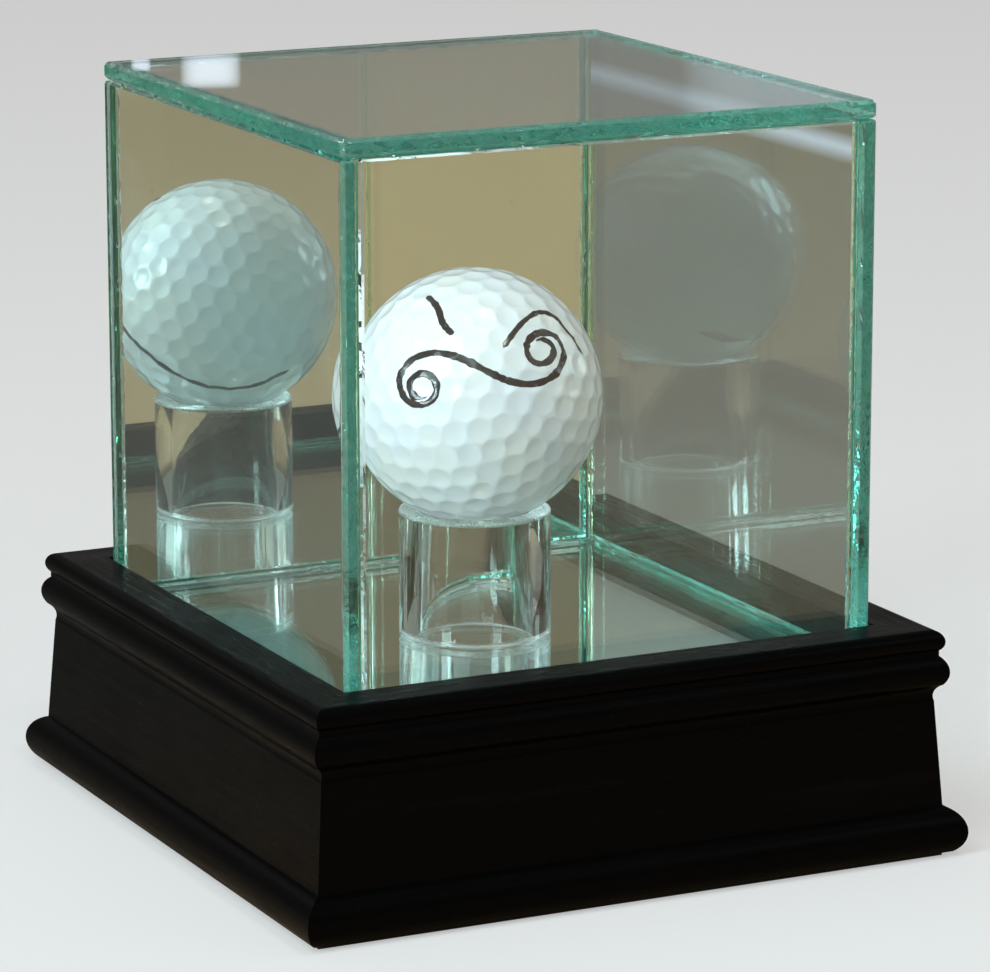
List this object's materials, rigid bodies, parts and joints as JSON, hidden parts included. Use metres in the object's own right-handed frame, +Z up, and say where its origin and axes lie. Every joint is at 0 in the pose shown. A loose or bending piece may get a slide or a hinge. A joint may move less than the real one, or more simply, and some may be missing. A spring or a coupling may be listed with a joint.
{
  "type": "ball display case",
  "caption": "Lift-off glass display case with a mirror back and mirror floor on a black moulded wooden base, with a clear tube stand and a dimpled ball.",
  "frame": {"origin": "centre of the underside of the base, on the surface it stands on", "axes": "+Z up, the front of the case faces -Y, its mirror back is at +Y, +X is the viewer's right from the front"},
  "size_m": [0.1182, 0.1222, 0.1244],
  "materials": {
    "black_lacquered_wood": "black stain under satin lacquer",
    "pine_block": "sawn, unfinished",
    "fibre_board": "unfinished medium-density board",
    "hardboard": "smooth brown hardboard",
    "nail_steel": "bright",
    "tape": "cloth-faced double-sided tape",
    "mirror_silver": "silvered, with painted back",
    "mirror_glass": "float glass, ground edges",
    "clear_glass": "float glass, ground edges",
    "felt": "wool felt",
    "set_glue": "clear ultraviolet-set adhesive",
    "clear_acrylic": "polished tube wall, sawn rims",
    "ball_enamel": "white, glossy, dimpled",
    "ball_mantle": "moulded",
    "ball_core": "moulded rubber"
  },
  "bodies": {
    "base": {"rail_front": "black_lacquered_wood", "rail_back": "black_lacquered_wood", "rail_left": "black_lacquered_wood", "rail_right": "black_lacquered_wood", "corner_blocks": "pine_block", "mitre_nails": "nail_steel", "floor_board": "fibre_board", "mirror_tape": "tape", "floor_silver": "mirror_silver", "floor_mirror": "mirror_glass", "bottom_panel": "hardboard", "panel_pins": "nail_steel", "base_felt": "felt"},
    "cover": {"top_pane": "clear_glass", "front_pane": "clear_glass", "left_pane": "clear_glass", "right_pane": "clear_glass", "back_mirror": "mirror_glass", "back_silver": "mirror_silver", "glue_front_left": "set_glue", "glue_front_right": "set_glue", "glue_back_left": "set_glue", "glue_back_right": "set_glue", "glue_under_top": "set_glue"},
    "stand": {"ball_stand": "clear_acrylic"},
    "ball": {"ball_cover": "ball_enamel", "ball_mantle": "ball_mantle", "ball_core": "ball_core"}
  },
  "joints": [
    {"name": "cover_lift", "type": "slide", "parent": "base", "child": "cover", "axis": [0, 0, 1], "range_m": [0, 0.12]},
    {"name": "stand_lift", "type": "slide", "parent": "base", "child": "stand", "axis": [0, 0, 1], "range_m": [0, 0.012]},
    {"name": "ball_lift", "type": "slide", "parent": "stand", "child": "ball", "axis": [0, 0, 1], "range_m": [0, 0.0135]}
  ]
}
